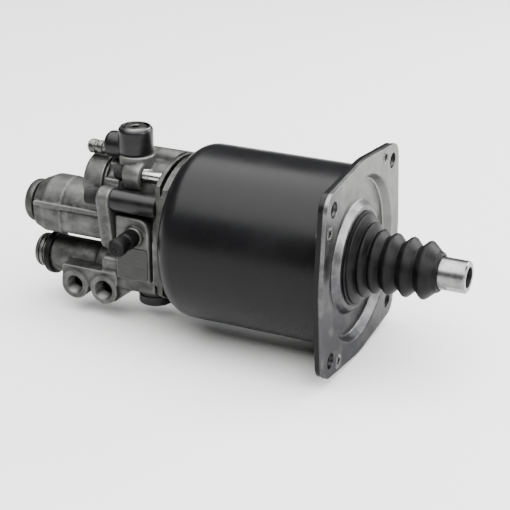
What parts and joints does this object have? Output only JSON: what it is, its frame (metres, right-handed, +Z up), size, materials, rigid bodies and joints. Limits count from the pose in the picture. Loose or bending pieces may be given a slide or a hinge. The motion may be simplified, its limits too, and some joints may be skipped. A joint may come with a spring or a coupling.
{
  "type": "air-assisted clutch servo",
  "caption": "Air-assisted clutch servo: round steel air can with a square mounting plate, booted push rod and a cast hydraulic and relay valve end.",
  "frame": {"origin": "centre of the front plate's mounting face, on the push rod's axis", "axes": "+X along the push rod, away from the can; +Z up, towards the elbow fitting; the ports face -Y"},
  "size_m": [0.3178, 0.132, 0.1335],
  "materials": {
    "black_paint": "gloss black paint on pressed steel",
    "zinc": "satin zinc plating",
    "cast_aluminium": "as cast, matt grey",
    "ring_aluminium": "as cast, matt grey",
    "turned_aluminium": "turned",
    "black_rubber": "matt black",
    "seal_rubber": "smooth black",
    "gasket": "dark fibre gasket",
    "bright_steel": "bright ground and plated",
    "dark_steel": "dark phosphated",
    "spring_steel": "oiled spring steel",
    "plain_steel": "zinc plated, dull",
    "bare_plate": "thin bare sheet, left without marking",
    "bearing_plastic": "filled bearing plastic",
    "bronze": "sintered bronze"
  },
  "bodies": {
    "servo": {"front_plate": "zinc", "plate_rivets": "zinc", "pneumatic_can": "black_paint", "can_seal": "gasket", "ring_flange": "ring_aluminium", "ring_gasket": "gasket", "ring_screws": "plain_steel", "valve_housing": "cast_aluminium", "hydraulic_cylinder": "cast_aluminium", "housing_gasket": "gasket", "control_cover": "cast_aluminium", "cover_seal": "seal_rubber", "cylinder_end_cap": "cast_aluminium", "end_cap_seal": "seal_rubber", "valve_end_cap": "turned_aluminium", "exhaust_ring": "black_rubber", "long_bolts": "dark_steel", "flange_bolts": "dark_steel", "bolt_sleeve": "dark_steel", "elbow_fitting": "dark_steel", "elbow_plug": "plain_steel", "bleed_nipple": "plain_steel", "bleed_screw": "plain_steel", "bleed_dust_cap": "black_rubber", "name_plate": "bare_plate", "lower_plug": "dark_steel", "lower_plug_seal": "seal_rubber", "rod_seal": "seal_rubber", "rod_bush": "bronze", "valve_seat": "turned_aluminium", "valve_guide": "turned_aluminium", "return_spring": "spring_steel", "boot": "black_rubber", "relay_spring": "spring_steel", "inlet_valve_spring": "spring_steel"},
    "rod": {"push_rod": "bright_steel", "pneumatic_piston": "cast_aluminium", "piston_lip_seal": "seal_rubber", "piston_guide_ring": "bearing_plastic", "piston_clip": "spring_steel", "hydraulic_piston": "turned_aluminium", "hydraulic_cup_seal": "seal_rubber", "hydraulic_guide_ring": "bearing_plastic"},
    "relay": {"relay_piston": "turned_aluminium", "relay_piston_seal": "seal_rubber", "control_piston": "plain_steel", "control_piston_seal": "seal_rubber"},
    "inlet": {"inlet_valve": "seal_rubber"}
  },
  "joints": [
    {"name": "rod_slide", "type": "slide", "parent": "servo", "child": "rod", "axis": [1, 0, 0], "range_m": [-0.035, 0], "stiffness_N_per_m": 1500, "springref_m": 0.06, "deforming": ["boot", "return_spring"]},
    {"name": "relay_slide", "type": "slide", "parent": "servo", "child": "relay", "axis": [1, 0, 0], "range_m": [0, 0.0024], "stiffness_N_per_m": 1500, "springref_m": -0.003, "deforming": ["relay_spring"]},
    {"name": "inlet_slide", "type": "slide", "parent": "servo", "child": "inlet", "axis": [1, 0, 0], "range_m": [0, 0.0015], "deforming": ["inlet_valve_spring"]}
  ],
  "couplings": [
    {"joint": "inlet_slide", "follows": "relay_slide", "ratio": 0.6}
  ]
}
